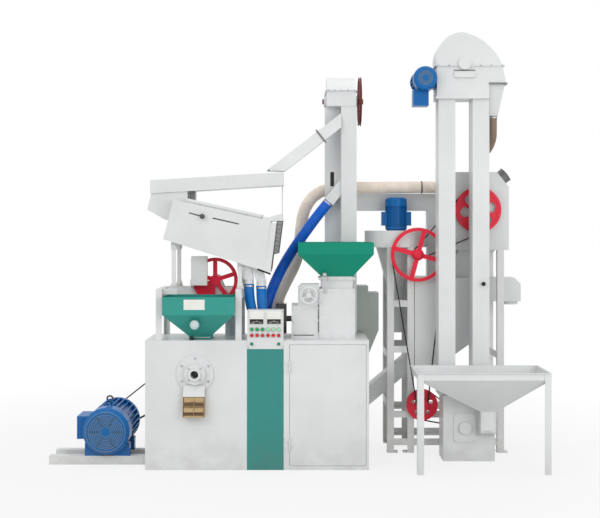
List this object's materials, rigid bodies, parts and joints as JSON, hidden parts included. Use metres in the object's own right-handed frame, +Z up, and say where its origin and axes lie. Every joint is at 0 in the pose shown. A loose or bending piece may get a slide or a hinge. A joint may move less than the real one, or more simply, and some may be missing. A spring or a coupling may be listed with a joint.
{
  "type": "rice huller",
  "caption": "Combined rice huller and mill with feed hopper, bucket elevators, destoner, husking rollers, shaking paddy separator and rice mill on one cabinet.",
  "frame": {"origin": "on the floor under the middle of the cabinet", "axes": "+X to the right seen from the front, +Y to the back, +Z up"},
  "size_m": [3.479, 1.176, 3.08],
  "materials": {
    "body_paint": "semi-gloss sheet paint",
    "panel_teal": "semi-gloss sheet paint",
    "hopper_teal": "semi-gloss sheet paint",
    "hopper_green": "semi-gloss sheet paint",
    "wheel_red": "gloss paint",
    "wheel_brown": "worn gloss paint",
    "motor_blue": "gloss paint on castings",
    "steel": "machined",
    "iron": "dark cast iron",
    "chute_brass": "yellow passivated sheet",
    "instrument_black": "moulded",
    "belt_rubber": "matt",
    "hose_blue": "ribbed",
    "hose_cream": "ribbed",
    "button_green": "moulded",
    "button_red": "moulded"
  },
  "bodies": {
    "machine": {"cabinet_shell": "body_paint", "separator_frame": "body_paint", "husker_casing": "body_paint", "rear_elevator_legs": "body_paint", "rear_elevator_head": "body_paint", "front_elevator_legs": "body_paint", "front_elevator_head": "body_paint", "cleaner_frame": "body_paint", "sieve_casing": "body_paint", "destoner_casing": "body_paint", "fan_housing": "body_paint", "transfer_ducts": "body_paint", "feed_hopper": "body_paint", "control_box": "body_paint", "mill_casing": "body_paint", "centre_panel": "panel_teal", "mill_hopper": "hopper_teal", "husker_hopper": "hopper_green", "main_motor": "motor_blue", "front_elevator_motor": "motor_blue", "fan_motor": "motor_blue", "motor_rails": "iron", "mill_outlet_chute": "chute_brass", "panel_instruments": "instrument_black", "belts": "belt_rubber", "outlet_hoses": "hose_blue", "return_hose": "hose_blue", "suction_hose": "hose_cream", "feed_hose": "hose_cream"},
    "cabinet_door_body": {"cabinet_door": "body_paint"},
    "separator_deck_body": {"separator_deck": "body_paint"},
    "rocker_arms_left_body": {"rocker_arms_left": "steel"},
    "rocker_arms_right_body": {"rocker_arms_right": "steel"},
    "separator_pulley_body": {"separator_pulley": "wheel_red"},
    "main_motor_pulley_body": {"main_motor_pulley": "iron"},
    "mill_rotor_body": {"mill_rotor": "iron"},
    "mill_gate_body": {"mill_gate": "steel"},
    "husker_handwheel_body": {"husker_handwheel": "iron"},
    "husker_gate_body": {"husker_gate": "steel"},
    "fast_roller_body": {"fast_roller": "iron"},
    "slow_roller_body": {"slow_roller": "iron"},
    "rear_head_shaft_body": {"rear_head_shaft": "wheel_brown"},
    "front_head_shaft_body": {"front_head_shaft": "steel"},
    "front_boot_shaft_body": {"front_boot_shaft": "steel"},
    "sieve_pulley_body": {"sieve_pulley": "wheel_red"},
    "destoner_pulley_body": {"destoner_pulley": "wheel_red"},
    "drive_pulley_body": {"drive_pulley": "wheel_red"},
    "hopper_gate_body": {"hopper_gate": "body_paint"},
    "start_button_1_body": {"start_button_1": "button_green"},
    "start_button_2_body": {"start_button_2": "button_green"},
    "start_button_3_body": {"start_button_3": "button_green"},
    "start_button_4_body": {"start_button_4": "button_green"},
    "start_button_5_body": {"start_button_5": "button_green"},
    "start_button_6_body": {"start_button_6": "button_green"},
    "stop_button_1_body": {"stop_button_1": "button_red"},
    "stop_button_2_body": {"stop_button_2": "button_red"},
    "stop_button_3_body": {"stop_button_3": "button_red"},
    "stop_button_4_body": {"stop_button_4": "button_red"},
    "stop_button_5_body": {"stop_button_5": "button_red"},
    "stop_button_6_body": {"stop_button_6": "button_red"}
  },
  "joints": [
    {"name": "cabinet_door_turn", "type": "hinge", "parent": "machine", "child": "cabinet_door_body", "pos_m": [0.2245, -0.248, 0.447], "axis": [0, 0, -1], "range_deg": [0, 110]},
    {"name": "separator_deck_slide", "type": "slide", "parent": "machine", "child": "separator_deck_body", "axis": [1, 0, 0], "range_m": [-0.006, 0.006]},
    {"name": "rocker_arms_left_turn", "type": "hinge", "parent": "machine", "child": "rocker_arms_left_body", "pos_m": [-0.585, 0, 1.275], "axis": [0, 1, 0], "range_deg": [-1.5, 1.5]},
    {"name": "rocker_arms_right_turn", "type": "hinge", "parent": "machine", "child": "rocker_arms_right_body", "pos_m": [-0.122, 0, 1.275], "axis": [0, 1, 0], "range_deg": [-3.3, 3.3]},
    {"name": "separator_pulley_turn", "type": "hinge", "parent": "machine", "child": "separator_pulley_body", "pos_m": [-0.312, 0.04, 1.298], "axis": [0, 1, 0], "continuous": true},
    {"name": "mill_rotor_turn", "type": "hinge", "parent": "machine", "child": "mill_rotor_body", "pos_m": [-0.426, 0, 0.666], "axis": [0, 1, 0], "continuous": true},
    {"name": "main_motor_pulley_turn", "type": "hinge", "parent": "machine", "child": "main_motor_pulley_body", "pos_m": [-1.066, 0.445, 0.241], "axis": [0, 1, 0], "continuous": true},
    {"name": "fast_roller_turn", "type": "hinge", "parent": "machine", "child": "fast_roller_body", "pos_m": [0.558, -0.021, 1.027], "axis": [1, 0, 0], "continuous": true},
    {"name": "slow_roller_turn", "type": "hinge", "parent": "machine", "child": "slow_roller_body", "pos_m": [0.558, 0.121, 1.027], "axis": [1, 0, 0], "continuous": true},
    {"name": "rear_head_shaft_turn", "type": "hinge", "parent": "machine", "child": "rear_head_shaft_body", "pos_m": [0.658, 0.455, 2.631], "axis": [1, 0, 0], "continuous": true},
    {"name": "front_head_shaft_turn", "type": "hinge", "parent": "machine", "child": "front_head_shaft_body", "pos_m": [1.478, 0.145, 2.851], "axis": [0, 1, 0], "continuous": true},
    {"name": "front_boot_shaft_turn", "type": "hinge", "parent": "machine", "child": "front_boot_shaft_body", "pos_m": [1.478, 0.145, 0.241], "axis": [0, 1, 0], "continuous": true},
    {"name": "drive_pulley_turn", "type": "hinge", "parent": "machine", "child": "drive_pulley_body", "pos_m": [1.201, 0.277, 0.362], "axis": [0, 1, 0], "continuous": true},
    {"name": "destoner_pulley_turn", "type": "hinge", "parent": "machine", "child": "destoner_pulley_body", "pos_m": [1.168, 0.253, 1.475], "axis": [0, 1, 0], "continuous": true},
    {"name": "sieve_pulley_turn", "type": "hinge", "parent": "machine", "child": "sieve_pulley_body", "pos_m": [1.618, 0.277, 1.807], "axis": [0, 1, 0], "continuous": true},
    {"name": "husker_handwheel_turn", "type": "hinge", "parent": "machine", "child": "husker_handwheel_body", "pos_m": [0.3575, -0.158, 1.201], "axis": [0, 1, 0], "range_deg": [-360, 360]},
    {"name": "husker_gate_turn", "type": "hinge", "parent": "machine", "child": "husker_gate_body", "pos_m": [0.4745, -0.113, 1.224], "axis": [0, 1, 0], "range_deg": [-35, 35]},
    {"name": "mill_gate_slide", "type": "slide", "parent": "machine", "child": "mill_gate_body", "axis": [0, -1, 0], "range_m": [0, 0.12]},
    {"name": "hopper_gate_slide", "type": "slide", "parent": "machine", "child": "hopper_gate_body", "axis": [0, 0, 1], "range_m": [0, 0.05]},
    {"name": "start_button_1_slide", "type": "slide", "parent": "machine", "child": "start_button_1_body", "axis": [0, 1, 0], "range_m": [0, 0.005], "stiffness_N_per_m": 600},
    {"name": "start_button_2_slide", "type": "slide", "parent": "machine", "child": "start_button_2_body", "axis": [0, 1, 0], "range_m": [0, 0.005], "stiffness_N_per_m": 600},
    {"name": "start_button_3_slide", "type": "slide", "parent": "machine", "child": "start_button_3_body", "axis": [0, 1, 0], "range_m": [0, 0.005], "stiffness_N_per_m": 600},
    {"name": "start_button_4_slide", "type": "slide", "parent": "machine", "child": "start_button_4_body", "axis": [0, 1, 0], "range_m": [0, 0.005], "stiffness_N_per_m": 600},
    {"name": "start_button_5_slide", "type": "slide", "parent": "machine", "child": "start_button_5_body", "axis": [0, 1, 0], "range_m": [0, 0.005], "stiffness_N_per_m": 600},
    {"name": "start_button_6_slide", "type": "slide", "parent": "machine", "child": "start_button_6_body", "axis": [0, 1, 0], "range_m": [0, 0.005], "stiffness_N_per_m": 600},
    {"name": "stop_button_1_slide", "type": "slide", "parent": "machine", "child": "stop_button_1_body", "axis": [0, 1, 0], "range_m": [0, 0.005], "stiffness_N_per_m": 600},
    {"name": "stop_button_2_slide", "type": "slide", "parent": "machine", "child": "stop_button_2_body", "axis": [0, 1, 0], "range_m": [0, 0.005], "stiffness_N_per_m": 600},
    {"name": "stop_button_3_slide", "type": "slide", "parent": "machine", "child": "stop_button_3_body", "axis": [0, 1, 0], "range_m": [0, 0.005], "stiffness_N_per_m": 600},
    {"name": "stop_button_4_slide", "type": "slide", "parent": "machine", "child": "stop_button_4_body", "axis": [0, 1, 0], "range_m": [0, 0.005], "stiffness_N_per_m": 600},
    {"name": "stop_button_5_slide", "type": "slide", "parent": "machine", "child": "stop_button_5_body", "axis": [0, 1, 0], "range_m": [0, 0.005], "stiffness_N_per_m": 600},
    {"name": "stop_button_6_slide", "type": "slide", "parent": "machine", "child": "stop_button_6_body", "axis": [0, 1, 0], "range_m": [0, 0.005], "stiffness_N_per_m": 600}
  ],
  "couplings": [
    {"joint": "rocker_arms_left_turn", "follows": "separator_deck_slide", "rad_per_m": 3.9216},
    {"joint": "rocker_arms_right_turn", "follows": "separator_deck_slide", "rad_per_m": 9.0909},
    {"joint": "main_motor_pulley_turn", "follows": "mill_rotor_turn", "ratio": 1.8095},
    {"joint": "slow_roller_turn", "follows": "fast_roller_turn", "ratio": -0.76923},
    {"joint": "front_boot_shaft_turn", "follows": "front_head_shaft_turn", "ratio": 1},
    {"joint": "drive_pulley_turn", "follows": "front_head_shaft_turn", "ratio": 0.36208},
    {"joint": "destoner_pulley_turn", "follows": "front_head_shaft_turn", "ratio": 0.071008},
    {"joint": "sieve_pulley_turn", "follows": "front_head_shaft_turn", "ratio": 0.016453}
  ]
}
